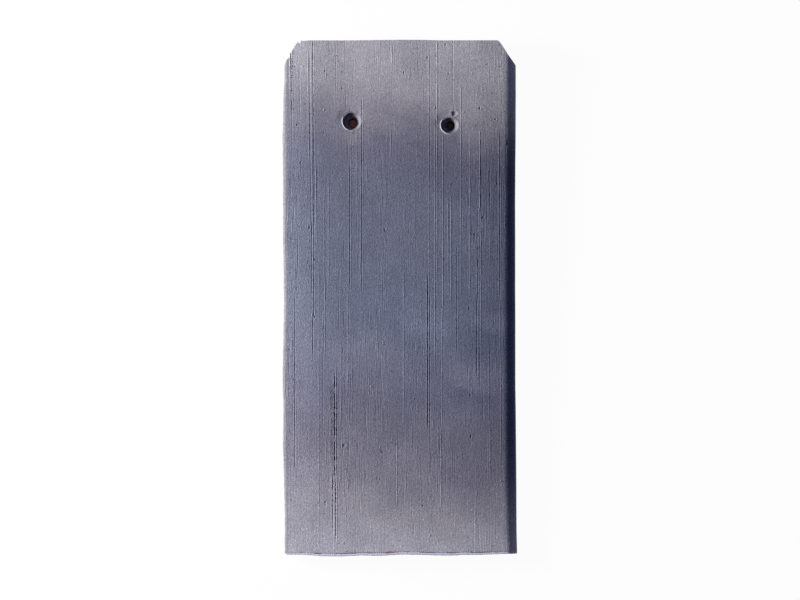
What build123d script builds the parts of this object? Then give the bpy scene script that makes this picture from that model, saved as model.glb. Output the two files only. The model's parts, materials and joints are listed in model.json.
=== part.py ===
# Flat clay roof tile with a hanging nib, in millimetres.
# It lies face up on a level floor, on its tail edge and on the crest of its nib, so it leans a little.
# The origin is on the floor, under the middle of the tile. The head points along +Y.

import os
from math import asin, atan, atan2, cos, degrees, hypot, sin

from build123d import *

# Tile body, a ribbon of clay extruded along its length and cut off at the head and at the tail
tile_width = 180.0
tile_length = 400.0
tile_thickness = 15.0
left_arris_radius = 2.6  # long edges of the upper face, the left one left nearly square
right_arris_radius = 9.0  # and the right one pressed down in a wide curve
back_arris_radius = 2.0  # long edges of the underside
tail_bevel_length = 2.4  # the cutting wire drags the upper tail edge down
tail_bevel_depth = 1.8

# Clipped corners of the head
head_cut_across = 14.0
head_cut_along = 18.0

# Nail holes, punched from the upper face
nail_spacing = 75.6
nail_from_head = 65.0
nail_mouth_diameter = 14.5
nail_mouth_depth = 9.0
nail_shank_diameter = 6.0

# Hanging nib, a short length of a rib that is extruded with the body
nib_from_head = 35.0  # to the hook face, which catches the batten
nib_length = 18.0  # along the tile, at the root
nib_crest_length = 8.0
nib_root_width = 36.0
nib_crest_width = 28.0
nib_height = 14.0
nib_root_radius = 3.0
nib_crest_radius = 2.0

# Lean of the tile between its tail edge and the rounded crest of its nib
crest_run = tile_length - nib_from_head + nib_crest_radius
crest_drop = nib_height - nib_crest_radius
lean = atan2(crest_drop, crest_run) + asin(nib_crest_radius / hypot(crest_run, crest_drop))

# Planes of the leaning tile, all from the middle of its underside
half_width = tile_width / 2
half_length = tile_length / 2
half_thickness = tile_thickness / 2
back_plane = Plane(
    origin=(0, half_thickness * sin(lean), half_length * sin(lean)),
    x_dir=(1, 0, 0),
    z_dir=(0, -sin(lean), cos(lean)),
)
face_plane = back_plane.offset(tile_thickness)
end_plane = Plane(back_plane * Plane.XZ)  # across the tile, facing its tail
side_plane = Plane(back_plane * Plane.YZ)  # along the tile, facing its right side

# The nib as a piece of its rib, which is cut square at the hook face and slopes back to the underside
nib_hook = half_length - nib_from_head
nib_root = nib_root_width / 2
nib_crest = nib_crest_width / 2
nib_flare = nib_root + nib_root_radius
with BuildPart() as nib:
    with BuildSketch(end_plane.offset(-nib_hook)) as rib_section:
        with BuildLine():
            Polyline(
                (-nib_flare, half_thickness),
                (-nib_flare, 0),
                (-nib_root, 0),
                (-nib_crest, -nib_height),
                (nib_crest, -nib_height),
                (nib_root, 0),
                (nib_flare, 0),
                (nib_flare, half_thickness),
                close=True,
            )
        make_face()
        fillet(rib_section.vertices().group_by(Axis.Y)[1].sort_by(Axis.X)[1:-1], radius=nib_root_radius)
        fillet(rib_section.vertices().group_by(Axis.Y)[0], radius=nib_crest_radius)
    extrude(amount=-nib_length)
    with BuildSketch(side_plane) as nib_side:
        with BuildLine():
            Polyline(
                (nib_hook, half_thickness),
                (nib_hook, -nib_height),
                (nib_hook + nib_crest_length, -nib_height),
                (nib_hook + nib_length, 0),
                (nib_hook + nib_length, half_thickness),
                close=True,
            )
        make_face()
        fillet(nib_side.vertices().group_by(Axis.Y)[0], radius=nib_crest_radius)
    extrude(amount=nib_root_width, both=True, mode=Mode.INTERSECT)

with BuildPart() as roof_tile:
    # Section of the ribbon, rounded along its long edges
    with BuildSketch(end_plane.offset(half_length)) as section:
        Rectangle(tile_width, tile_thickness, align=(Align.CENTER, Align.MIN))
        fillet(section.vertices().group_by(Axis.Y)[-1].sort_by(Axis.X)[0], radius=left_arris_radius)
        fillet(section.vertices().group_by(Axis.Y)[-1].sort_by(Axis.X)[-1], radius=right_arris_radius)
        fillet(section.vertices().group_by(Axis.Y)[0], radius=back_arris_radius)
    extrude(amount=-tile_length)

    # Clipped corners of the head
    with BuildSketch(back_plane):
        with BuildLine():
            Polyline(
                (half_width - head_cut_across, half_length),
                (half_width, half_length - head_cut_along),
                (half_width, half_length),
                close=True,
            )
        make_face()
        mirror(about=Plane.YZ)
    extrude(amount=tile_thickness, mode=Mode.SUBTRACT)

    # Upper tail edge, drawn down by the wire
    with BuildSketch(side_plane):
        with BuildLine():
            Polyline(
                (-half_length, tile_thickness - tail_bevel_depth),
                (tail_bevel_length - half_length, tile_thickness),
                (-half_length, tile_thickness),
                close=True,
            )
        make_face()
    extrude(amount=half_width, both=True, mode=Mode.SUBTRACT)

    add(nib.part)

    # Nail holes, each with a tapered mouth that takes the nail's head
    mouth_radius = nail_mouth_diameter / 2
    shank_radius = nail_shank_diameter / 2
    mouth_angle = 2 * atan((mouth_radius - shank_radius) / nail_mouth_depth)
    with Locations(face_plane):
        with Locations((0, half_length - nail_from_head)):
            with GridLocations(nail_spacing, 0, 2, 1):
                CounterSinkHole(shank_radius, mouth_radius, counter_sink_angle=degrees(mouth_angle))

os.makedirs("parts", exist_ok=True)
roof_tile.part.label = "roof_tile"
export_step(roof_tile.part, "parts/roof_tile.step")
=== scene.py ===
import json
import math

import bmesh
import bpy
from mathutils import Matrix, Vector, noise


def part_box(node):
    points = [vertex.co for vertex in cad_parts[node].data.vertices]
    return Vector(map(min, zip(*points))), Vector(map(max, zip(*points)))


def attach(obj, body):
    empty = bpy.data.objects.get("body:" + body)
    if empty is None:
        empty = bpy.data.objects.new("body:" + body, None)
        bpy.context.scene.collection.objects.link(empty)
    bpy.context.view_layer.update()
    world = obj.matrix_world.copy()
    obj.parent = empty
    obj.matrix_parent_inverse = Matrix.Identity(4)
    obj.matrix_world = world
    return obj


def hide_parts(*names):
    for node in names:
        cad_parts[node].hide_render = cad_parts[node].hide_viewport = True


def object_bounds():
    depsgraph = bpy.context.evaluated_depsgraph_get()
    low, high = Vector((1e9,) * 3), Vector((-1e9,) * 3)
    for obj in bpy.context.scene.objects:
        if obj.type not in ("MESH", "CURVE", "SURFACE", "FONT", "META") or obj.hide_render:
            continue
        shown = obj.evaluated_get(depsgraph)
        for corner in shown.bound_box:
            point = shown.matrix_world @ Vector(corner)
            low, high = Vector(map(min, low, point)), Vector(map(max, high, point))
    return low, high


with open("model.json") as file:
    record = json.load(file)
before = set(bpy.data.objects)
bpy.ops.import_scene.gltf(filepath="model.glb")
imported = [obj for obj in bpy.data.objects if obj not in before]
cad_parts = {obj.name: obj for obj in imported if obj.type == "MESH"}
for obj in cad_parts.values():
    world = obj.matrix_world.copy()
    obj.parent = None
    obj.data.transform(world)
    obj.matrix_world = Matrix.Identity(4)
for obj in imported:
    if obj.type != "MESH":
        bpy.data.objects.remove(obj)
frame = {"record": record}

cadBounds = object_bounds()
mm = 0.001

# What the frame says of the tile, in millimetres
mounts = {mount["name"]: mount for mount in frame["record"]["mounts"]}
upAxis = Vector(mounts["upper_face"]["axis"])
acrossAxis = Vector((1, 0, 0))
alongAxis = upAxis.cross(acrossAxis)
faceMiddle = Vector(mounts["upper_face"]["pos_m"])
seatPoint = Vector(mounts["batten_seat"]["pos_m"])
hookPoint = Vector(mounts["nib_hook"]["pos_m"])
thickness = (faceMiddle - seatPoint).dot(upAxis) / mm
backMiddle = faceMiddle - upAxis * thickness * mm
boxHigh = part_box("roof_tile")[1]
halfWidth = boxHigh.x / mm
halfLength = (boxHigh.y - backMiddle.y) / alongAxis.y / mm
hookPlace = (hookPoint - backMiddle).dot(alongAxis) / mm
nibHeight = -2 * (hookPoint - backMiddle).dot(upAxis) / mm
nailPoints = [Vector(mounts[name]["pos_m"]) for name in ("nail_hole_left", "nail_hole_right")]
nailPlaces = [(point.x / mm, (point - backMiddle).dot(alongAxis) / mm) for point in nailPoints]
boreRadius = mounts["nail_hole_left"]["dims"]["r_mm"]
print("frame", round(2 * halfWidth, 2), round(2 * halfLength, 2), round(thickness, 2), "mm")


# value at x on straight runs between the points
def ramp(x, points):
    if x <= points[0][0]:
        return points[0][1]
    for (xa, ya), (xb, yb) in zip(points, points[1:]):
        if x <= xb:
            return ya + (yb - ya) * (x - xa) / (xb - xa)
    return points[-1][1]


def smooth(t):
    t = min(max(t, 0), 1)
    return t * t * (3 - 2 * t)


def wobble(x, y, z=0.0):
    return noise.noise(Vector((x, y, z)))


# gives a socket its link or its value
def feed(tree, socket, value):
    if isinstance(value, bpy.types.NodeSocket):
        tree.links.new(value, socket)
    else:
        socket.default_value = value


def mathsNode(tree, operation, a, b=0.0, clamp=False):
    node = tree.nodes.new("ShaderNodeMath")
    node.operation = operation
    node.use_clamp = clamp
    feed(tree, node.inputs[0], a)
    feed(tree, node.inputs[1], b)
    return node.outputs[0]


# the stops, with even steps between them that are no longer than the step
def fillSteps(stops, step, closest=0.22):
    stops = sorted(stops)
    kept = [stops[0]]
    for stop in stops[1:]:
        if stop - kept[-1] > closest:
            kept.append(stop)
    filled = [kept[0]]
    for a, b in zip(kept, kept[1:]):
        count = max(1, math.ceil((b - a) / step - 0.01))
        filled += [a + (b - a) * (n + 1) / count for n in range(count)]
    return filled


# Lines that the mouthpiece dragged, in millimetres: across from the middle, start and end from the head,
# depth (a ridge has a negative one), half width, roughness. The mesh has them lineGain times as deep.
dragLines = [
    # left side
    (-84.9, 0, 60, 0.18, 0.55, 0.8),
    (-84.6, 52, 98, 0.055, 0.45, 0.5),
    (-78.6, 18, 62, 0.045, 0.45, 0.4),
    (-85.8, 208, 301, -0.03, 0.60, 0.2),
    (-80.9, 150, 182, 0.085, 0.50, 0.4),
    (-82.0, 172, 206, 0.085, 0.50, 0.4),
    (-83.0, 196, 340, 0.085, 0.50, 0.4),
    (-76.3, 289, 308, 0.06, 0.50, 0.2),
    (-71.8, 8, 98, -0.06, 0.45, 0.4),
    (-73.6, 98, 128, -0.05, 0.45, 0.3),
    (-70.6, 4, 144, 0.075, 0.50, 0.7),
    (-69.9, 136, 200, 0.08, 0.50, 0.5),
    (-69.3, 5, 125, -0.06, 0.45, 0.4),
    (-67.9, 0, 100, 0.115, 0.50, 0.8),
    (-68.3, 92, 184, 0.10, 0.50, 0.6),
    (-67.2, 94, 170, 0.05, 0.45, 0.6),
    (-68.4, 180, 220, 0.12, 0.50, 0.5),
    (-66.4, 96, 165, -0.085, 0.45, 0.3),
    (-65.2, 70, 130, 0.05, 0.45, 0.3),
    (-59.7, 120, 190, -0.045, 0.45, 0.3),
    (-55.5, 100, 196, -0.045, 0.45, 0.3),
    (-69.2, 212, 250, 0.11, 0.50, 0.4),
    (-67.1, 300, 340, -0.04, 0.45, 0.4),
    (-64.7, 170, 396, -0.045, 0.45, 0.7),
    (-60.4, 240, 305, 0.04, 0.45, 0.4),
    (-58.5, 182, 246, -0.075, 0.45, 0.3),
    (-57.8, 300, 335, -0.04, 0.45, 0.4),
    # rough groove at the lower left
    (-53.9, 268, 334, -0.05, 0.45, 0.6),
    (-53.2, 328, 378, -0.07, 0.45, 0.5),
    (-52.0, 336, 386, 0.095, 0.50, 0.95),
    (-50.8, 256, 342, 0.27, 0.62, 0.95),
    (-49.9, 338, 390, 0.17, 0.50, 0.95),
    (-51.0, 376, 400, -0.05, 0.45, 0.4),
    (-49.6, 258, 340, -0.075, 0.45, 0.3),
    (-48.9, 334, 394, -0.05, 0.45, 0.5),
    # further up beside it
    (-50.0, 1, 44, 0.05, 0.45, 0.3),
    (-47.4, 180, 242, 0.045, 0.45, 0.3),
    (-46.0, 240, 305, -0.04, 0.45, 0.4),
    # between the nail holes and down the middle
    (-39.0, 94, 196, 0.12, 0.50, 0.4),
    (-40.7, 188, 280, -0.055, 0.45, 0.3),
    (-39.2, 190, 280, -0.035, 0.45, 0.3),
    (-33.7, 64, 140, -0.035, 0.45, 0.4),
    (-29.8, 44, 200, 0.115, 0.50, 0.3),
    (-7.2, 66, 94, -0.05, 0.45, 0.2),
    (-6.5, 2, 26, -0.04, 0.45, 0.3),
    (-2.3, 300, 366, -0.075, 0.45, 0.6),
    (2.9, 176, 302, -0.05, 0.45, 0.4),
    (4.4, 300, 366, -0.04, 0.45, 0.4),
    (11.4, 96, 196, -0.03, 0.45, 0.3),
    (21.5, 180, 306, 0.20, 0.55, 0.35),
    (22.3, 6, 192, -0.055, 0.45, 0.4),
    (23.1, 6, 112, 0.05, 0.45, 0.4),
    (22.9, 304, 348, -0.06, 0.45, 0.5),
    (23.4, 196, 340, 0.07, 0.45, 0.4),
    (27.0, 58, 262, -0.075, 0.45, 0.4),
    # right side
    (28.8, 0, 192, -0.06, 0.45, 0.7),
    (30.1, 0, 100, 0.035, 0.45, 0.8),
    (32.0, 298, 368, -0.09, 0.45, 0.5),
    (32.6, 206, 302, -0.065, 0.45, 0.3),
    (33.4, 70, 216, -0.075, 0.45, 0.4),
    (37.4, 118, 188, -0.055, 0.45, 0.3),
    (39.8, 118, 206, -0.09, 0.45, 0.4),
    (41.0, 0, 54, 0.055, 0.45, 0.3),
    (44.1, 156, 247, 0.085, 0.50, 0.4),
    (47.4, 28, 200, -0.055, 0.45, 0.4),
    (54.4, 70, 200, -0.05, 0.45, 0.4),
    (54.8, 106, 124, -0.12, 0.45, 0.3),
    (56.5, 236, 272, 0.04, 0.45, 0.4),
    (60.3, 144, 206, 0.13, 0.50, 0.7),
    (59.6, 198, 264, 0.11, 0.55, 0.7),
    (59.2, 328, 366, -0.045, 0.45, 0.3),
    (58.5, 360, 400, -0.08, 0.50, 0.3),
    (62.0, 66, 136, -0.13, 0.50, 0.4),
    (62.9, 132, 240, -0.075, 0.45, 0.7),
    (62.0, 236, 274, 0.06, 0.45, 0.4),
    (64.3, 268, 303, 0.05, 0.45, 0.3),
    (69.0, 236, 300, -0.055, 0.45, 0.3),
    (68.6, 304, 345, -0.06, 0.45, 0.3),
    (70.1, 296, 345, -0.07, 0.45, 0.3),
    (76.8, 70, 200, -0.05, 0.45, 0.3),
    (77.5, 66, 206, 0.085, 0.45, 0.4),
    (78.5, 96, 190, -0.045, 0.45, 0.3),
    (77.8, 200, 246, -0.06, 0.45, 0.3),
    (78.3, 242, 338, -0.06, 0.45, 0.3),
]
# the lines on the left side lean to the right on their way down from the head
lineLean = [(-88, 0.0), (-86, 1.5), (-64, 1.5), (-58, 0.0)]
leanLength = 165.0
cellWidth = 4  # the face is searched for drag lines in cells of this width

# Pits that stones and air left, and crumbs of clay, in millimetres: across, from the head, radius,
# depth (a crumb has a negative one), bareness of the clay. The mesh has them pitGain times as deep.
pits = [
    (-83.8, 15.6, 0.9, 0.4, 0.1), (-58.4, 23.6, 0.8, 0.3, 0.1), (-80.7, 66.0, 0.8, 0.3, 0.1),
    (-44.9, 37.5, 0.9, 0.2, 0.0), (35.5, 3.0, 0.9, 0.3, 0.0), (21.6, 13.4, 0.9, 0.3, 0.0),
    (3.1, 25.2, 0.8, 0.3, 0.0), (37.9, 25.8, 0.8, 0.25, 0.0), (28.1, 52.5, 0.8, 0.3, 0.0),
    (62.1, 52.8, 1.0, 0.35, 0.0), (74.4, 61.5, 0.9, 0.3, 0.0), (83.0, 80.1, 1.2, 0.5, 0.0),
    (-78.2, 95.4, 0.9, 0.3, 0.0), (69.6, 102.7, 0.8, 0.26, 0.0), (75.4, 111.5, 0.8, 0.3, 0.0),
    (70.1, 121.2, 0.8, 0.3, 0.0), (64.6, 138.0, 1.0, 0.35, 0.0), (-11.7, 148.2, 0.9, 0.3, 0.0),
    (58.1, 151.3, 0.9, 0.3, 0.0), (-71.8, 145.8, 0.9, 0.45, 0.0), (-67.7, 215.5, 0.9, 0.32, 0.0),
    (-61.0, 222.8, 0.8, -0.25, 0.0), (85.9, 216.2, 1.0, -0.35, 0.0), (52.4, 223.9, 0.8, -0.22, 0.0),
    (53.8, 208.8, 0.8, 0.3, 0.0), (54.6, 276.0, 0.9, 0.3, 0.0), (-22.2, 269.2, 0.8, -0.26, 0.0),
    (-24.2, 274.8, 0.8, -0.22, 0.0), (-43.5, 315.2, 1.3, 0.4, 0.0), (55.1, 308.2, 0.9, 0.3, 0.0),
    (-57.6, 359.4, 0.9, 0.3, 0.0), (17.7, 362.0, 0.9, 0.3, 0.0), (23.2, 385.0, 0.9, -0.22, 0.0),
    (-17.7, 74.8, 0.9, 0.12, 0.4), (-13.2, 235.0, 0.9, -0.18, 0.4), (-17.2, 327.5, 0.8, 0.12, 0.4),
    (42.3, 56.9, 2.2, 0.52, 0.0), (78.4, 342.7, 0.9, -0.25, 0.0), (-15.4, 316.5, 0.9, -0.2, 0.0),
    (-12.8, 236.4, 0.8, -0.22, 0.3), (-21.0, 270.6, 0.8, -0.24, 0.0), (10.6, 278.6, 0.8, -0.22, 0.0),
    (8.9, 286.2, 0.8, -0.2, 0.0), (-15.0, 319.4, 0.8, -0.2, 0.3), (-17.0, 330.2, 0.8, 0.24, 0.0),
    (-26.6, 340.0, 0.9, 0.2, 0.0), (-17.6, 341.0, 0.8, 0.2, 0.0), (-60.2, 213.6, 0.8, -0.2, 0.0),
    (59.8, 352.0, 0.8, -0.2, 0.0), (-58.0, 73.8, 0.8, -0.2, 0.0), (61.4, 132.0, 0.8, -0.28, 0.0),
    (-43.4, 62.4, 0.8, 0.18, 0.0), (61.1, 92.7, 0.8, -0.28, 0.0), (-72.5, 155.9, 0.8, -0.24, 0.0),
    (-69.2, 170.7, 0.9, -0.3, 0.1), (-72.6, 175.5, 0.8, -0.24, 0.0), (-70.9, 186.8, 0.8, -0.22, 0.0),
    (-78.3, 163.3, 0.8, -0.2, 0.0), (-69.8, 213.6, 0.9, -0.2, 0.5), (-59.2, 54.3, 0.9, -0.26, 0.0),
]

# Section of a drag line across itself, in its half widths, and how it fades and varies along its run
lineShape = {
    "reach": 1.9,
    "bankPlace": 1.35,
    "bankReach": 0.55,
    "bankHeight": 0.36,
    "fadeLength": 8,
    "tremble": 1.9,  # short variation of a rough line
    "waver": 0.45,  # long variation of every line
    "deepFrom": 0.065,
    "shadeStrength": 0.75,
    "shadeFrom": 0.10,  # a groove gets painted shade from this depth on
    "highlightFrom": 0.02,  # and a ridge or bank gets a painted highlight from this height on
    "toneGrowth": 0.22,  # depth or height over which the painted shade and the painted highlight grow
    "columnShares": (-1.9, -1.4, -0.5, 0.5, 1.4, 1.9),  # more columns of the mesh across a deep line
}

# A pit and its low rim, in its radii
pitShape = {
    "reach": 3,
    "edge": 1.15,
    "ragged": 0.35,
    "rimPlace": 1.3,
    "rimReach": 0.5,
    "rimHeight": 0.22,
    # painted shade in the pit
    "shadeStrength": 0.6,
    "shadeDepth": 0.4,  # in millimetres as listed, from which a pit has its full painted shade
}

tile = {
    "leftArris": 2.6,
    "rightArris": 10.0,
    "backArris": 2.0,
    "columnStep": 0.85,
    "closestColumns": 0.19,
    "rowStep": 3.5,
    "tailSteps": (0.3, 0.6, 0.9, 1.2, 1.5, 1.8, 2.1, 2.5, 3.0, 3.8, 5),
    "headSteps": (0.3, 0.7, 1.4, 2.6),
    "underStep": 4.5,
    "underStops": (0, 7, 14, 26),
    "arcSteps": (4, 7, 15),  # of the arrises of the back, the left and the right
    "sideSteps": 5,
    "tornColumns": (-86, -77),  # a column at each tooth of the torn corner between these
    "nailBand": 10.5,
    "nailBandStep": 0.7,
    "lineGain": 2.5,
    "pitGain": 1.6,
    "faceFade": 2.2,  # depth over which the face's relief dies out down the sides
    "pitCuts": 3,
    "pitMargin": (0.6, 1.4),  # across and along
    "roughFrom": 0.9,
    "roughCuts": 2,
    "roughMargin": 0.3,
    "creaseAngle": 30,
    "headBulge": 0.3,
    "tailBulge": 0.05,
    "endRings": [(0.12, 0.0), (0.45, 0.8), (0.9, 1.0), (3.0, 1.0), (6.6, 1.0)],  # inset, share of the bulge
    "swell": 0.08,
    "swellSize": (16, 95),  # across and along
    "ripple": 0.02,
    "rippleSize": (5, 70),
    "backSwell": 0.12,
    "backRipple": 0.05,
    "seatLength": 12,  # the back swells less near the tail edge that the tile lies on
}

# Outline of the head, as distance from the head line, torn along the drag lines at its left corner
headOutline = [
    (-90.0, 18.9), (-88.9, 16.3), (-87.8, 14.3), (-86.3, 13.9), (-85.9, 13.2), (-85.4, 9.8), (-84.9, 10.4),
    (-84.4, 7.4), (-83.9, 8.7), (-83.3, 5.4), (-82.8, 7.1), (-82.2, 3.9), (-81.7, 5.3), (-81.1, 2.2),
    (-80.5, 3.9), (-80.0, 0.9), (-79.4, 2.2), (-78.8, 0.5), (-78.3, 2.9), (-77.7, 2.6), (-77.1, 0.2),
    (-75.5, 0.5), (-70.0, 0.1), (-40.0, 0.15), (0.0, -0.35), (16.0, -0.3), (31.0, 0.1), (75.6, 0.05),
    (76.4, 0.2), (77.9, 1.4), (81.0, 5.9), (84.1, 10.8), (86.5, 14.1), (88.8, 17.3), (90.0, 18.9),
]

# Tail outline and the seam above it, as distance from the tail line
tailOutline = [
    (-90.0, 0.0), (-77.6, 0.05), (-69.8, -0.35), (-62.0, -1.1), (-46.5, -1.3), (-31.0, -0.55),
    (-15.4, -0.85), (0.0, 0.15), (15.7, -0.05), (31.0, -0.6), (44.0, -0.6), (47.0, -0.15), (62.0, -0.05),
    (78.0, 0.5), (90.0, 0.7),
]
seamPlace = [
    (-90.0, 0.9), (-75.0, 1.3), (-60.0, 1.6), (-40.0, 1.7), (-12.0, 1.9), (0.0, 1.9), (45.0, 1.8),
    (70.0, 1.7), (82.0, 1.5), (90.0, 1.3),
]

# Long edges, as the shift to the right of the clean edge, by the distance from the head
leftOutline = [
    (0, 0.0), (20, -0.2), (31, -0.65), (55, -1.1), (78, -1.6), (102, -1.2), (149, -1.15), (172, -0.8),
    (195, -0.4), (219, -0.4), (242, -1.1), (266, -1.3), (289, -0.65), (313, -1.1), (336, -0.35),
    (360, 0.25), (383, 0.6), (396, 0.4), (400, 0.0),
]
rightOutline = [
    (18, 0.5), (55, 0.5), (102, 0.15), (125, 0.0), (270, 0.0), (289, 0.35), (336, 0.65), (383, 0.8),
    (400, 1.1),
]

# How far in the outline's wear reaches, and how ragged it is
wear = {
    "edgeReach": 4,
    "headReach": 46.0,  # the rows nearer to the head than this close up on the clipped corners
    "tailReach": 10,
    "tornFrom": 73,
    "tornFade": 3,
    "skinDepth": 3.2,
    "skinFade": 2.2,
    "leftRagged": (0.30, 0.18),  # coarse and fine
    "rightRagged": 0.12,
    "headRagged": 0.14,
    "tornRagged": 0.8,
    "tailRagged": (0.22, 0.15),
}

# Radius of the right arris, which is pressed down less at both ends
rightArrisRadius = [(20, 8.7), (60, 9.0), (140, 10.0), (320, 10.0), (350, 9.6), (380, 8.8), (396, 8.1)]

nailHole = {
    "mouthRadius": [7.0, 6.6],
    "flatten": [1.0, 0.92],  # height of the mouth over its width
    "lip": 1.1,
    "mouthShift": [(0.3, 2.1), (0.8, -1.0)],
    "boreShift": [(1.4, 1.1), (1.2, -0.9)],
    "burr": 0.6,
    "burrTurn": 212,  # degrees round the mouth from its right side
    "pressedDepth": 0.6,
    "pressedTurn": 105,
    "pressedReach": 18,
    "pressedFrom": 7.3,
    "pressedFade": 6.0,
    "burrPlace": 0.5,  # from the edge of the mouth
    "burrReach": 0.45,
    # painted highlight on the burr
    "burrHighlight": 0.8,
    "evenness": 0.7,  # how far the points of a rim move to even steps round it
    # painted shade on the mouth's wall, away from its lit side
    "wallShade": 0.9,
    "wallShadeLoss": 0.35,  # of the painted shade, further down the wall
    "litTurn": -0.6,  # radians, the lit side of the mouth, which gets no painted shade
    "scrapedTurn": -1.8,  # radians
    "scrapedDepth": 1.2,
    "scrapedBareness": 0.55,
    "shadeDepth": 5.5,  # the wall gets painted shade from here down
    "shadeFade": 2.5,
    "wallUneven": 0.16,
    "boreFrom": 0.5,  # depth at which the mouth starts to close in on the bore
    "closingDepth": 8.0,
    "exitGrowth": 0.15,
    "clearance": 9.5,  # what lies nearer to a bore than this belongs to its hole
    "columns": (-7, -4.6, -3.4, -2.6, -1.3, 0, 1.3, 2.6, 3.4, 4.6, 7),  # of the mesh under a bore
    "rings": [
        (0.8, 0.02, 0.7), (0.45, 0.05, 1.0), (0.15, 0.25, 0.5), (-0.2, 0.7, 0.1), (-0.7, 1.7, 0.0),
        (-1.5, 3.2, 0.0), (-2.5, 5.0, 0.0), (-3.4, 7.0, 0.0), (-3.9, 8.6, 0.0), (-4.1, 9.8, 0.0),
        (-4.1, 12.2, 0.0),
    ],  # growth of the radius, depth, share of the burr
}

# The nib as rings from its root to its crest: depth, half width, hook face and back
nib = {
    "drawnHeight": 14.0,
    "rootHalfWidth": 20.4,
    "rootLength": 18.4,
    "rings": [
        (0.35, 19.2, 0.0, 17.7), (1.1, 18.4, 0.0, 17.1), (2.6, 17.6, 0.0, 15.8), (7.0, 16.1, 0.0, 12.6),
        (12.2, 14.6, 0.15, 8.9), (13.3, 14.2, 0.45, 8.1), (13.85, 13.6, 1.1, 7.3), (14.0, 12.8, 1.9, 6.4),
    ],
}

# Seam above the tail, the lip drawn out below it and the tail edge's own roll
tailEdge = {
    "reach": 8,
    "fadeDepth": 3,  # down the end
    "seamDepth": 0.35,
    "seamReach": 0.45,
    "shutShare": 0.35,  # share of the seam's depth where it is most closed
    "lipHeight": 0.10,
    "lipPlace": 0.9,  # below the seam
    "lipReach": 0.8,
    "rollDepth": 0.35,
    "rollReach": 0.4,
}

# Where the engobe runs out towards the back
bareBack = {
    "heightShare": 0.42,  # of the thickness
    "coarseTear": 2.2,
    "fineTear": 0.9,
    "fade": 3.2,
}

# Torn spots at the tail where the clay shows: across, from the tail line, half width, half height, strength
flecks = [
    (-64.8, 1.7, 2.4, 0.6, 0.6), (-8.5, 1.9, 3.8, 0.7, 0.9), (-2.6, 1.9, 1.6, 0.6, 0.7),
    (5.6, 2.2, 2.6, 0.6, 0.8), (37.0, -0.4, 7.0, 0.7, 0.4),
]


# the ribbon's section, once round from the middle of its underside, the left side first
def sectionPoints():
    def arc(u, w, radius, start, count):
        turns = [math.radians(start - 90 * n / count) for n in range(count + 1)]
        return [(u + radius * math.cos(turn), w + radius * math.sin(turn)) for turn in turns]

    back = tile["backArris"]
    underStops = [*tile["underStops"], nib["rootHalfWidth"], halfWidth - back]
    underStops += [nailPlaces[1][0] + shift for shift in nailHole["columns"]]
    under = fillSteps(underStops, tile["underStep"])
    left, right = tile["leftArris"], tile["rightArris"]
    faceStops = [left - halfWidth, halfWidth - right]
    for across, start, end, depth, half, rough in dragLines:
        if left - halfWidth < across - half and across + half < halfWidth - right:
            faceStops += [across - half, across, across + half]
            if abs(depth) > lineShape["deepFrom"]:
                faceStops += [across + half * share for share in lineShape["columnShares"]]
    outer, inner = tile["tornColumns"]
    faceStops += [across for across, cutback in headOutline if outer < across < inner]
    face = fillSteps(faceStops, tile["columnStep"], tile["closestColumns"])
    backSteps, leftSteps, rightSteps = tile["arcSteps"]
    points = [(-u, 0) for u in under[:-1]]
    points += arc(back - halfWidth, back, back, 270, backSteps)
    sideLeft = thickness - left - back
    sideSteps = tile["sideSteps"]
    points += [(-halfWidth, back + sideLeft * n / sideSteps) for n in range(1, sideSteps)]
    points += arc(left - halfWidth, thickness - left, left, 180, leftSteps)
    points += [(u, thickness) for u in face[1:-1]]
    points += arc(halfWidth - right, thickness - right, right, 90, rightSteps)
    points += [(halfWidth, (thickness - right + back) / 2)]
    points += arc(halfWidth - back, back, back, 0, backSteps)
    points += [(u, 0) for u in reversed(under[:-1])]
    return points


# rows along the tile, closer by the nail holes, the nib's faces, the head and the tail
def rowPlaces():
    nailRow = nailPlaces[0][1]
    band = tile["nailBand"]
    stops = [-halfLength, hookPlace, hookPlace + nib["rootLength"], halfLength]
    stops += [-halfLength + step for step in tile["tailSteps"]]
    stops += [halfLength - step for step in tile["headSteps"]]
    count = round(2 * band / tile["nailBandStep"])
    stops += [nailRow - band + 2 * band * n / count for n in range(count + 1)]
    return fillSteps(stops, tile["rowStep"])


# open edges whose middles lie within reach of a place on one of the tile's faces
def openEdges(bm, near, reach):
    u, v, w = near
    found = []
    for edge in bm.edges:
        if not edge.is_boundary:
            continue
        middle = (edge.verts[0].co + edge.verts[1].co) / 2
        if math.hypot(middle.x - u, middle.y - v) < reach and abs(middle.z - w) < 1:
            found.append(edge)
    return found


def extrudeRing(bm, edges):
    made = bmesh.ops.extrude_edge_only(bm, edges=edges)["geom"]
    vertices = [item for item in made if isinstance(item, bmesh.types.BMVert)]
    chosen = set(vertices)
    ring = [item for item in made if isinstance(item, bmesh.types.BMEdge)]
    return vertices, [edge for edge in ring if edge.verts[0] in chosen and edge.verts[1] in chosen]


# rounds and closes the open head or tail with rings drawn in towards the middle of the thickness
def closeEnd(bm, side):
    edges = [edge for edge in bm.edges if edge.is_boundary and edge.verts[0].co.y * side > halfLength - 1]
    middle = thickness / 2
    bulge = tile["headBulge"] if side > 0 else tile["tailBulge"]
    homes = {}
    for inset, share in tile["endRings"]:
        vertices, newEdges = extrudeRing(bm, edges)
        for vertex in vertices:
            key = vertex.co.copy().freeze()
            start, base = homes.get(key, (Vector(key), key[1]))
            centre = Vector((min(max(start.x, middle - halfWidth), halfWidth - middle), base, middle))
            placed = start.lerp(centre, inset / middle)
            placed.y = base + side * share * bulge
            vertex.co = placed
            homes[placed.copy().freeze()] = (start, base)
        edges = newEdges
    bmesh.ops.triangle_fill(bm, use_beauty=True, use_dissolve=False, edges=edges)


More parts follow.
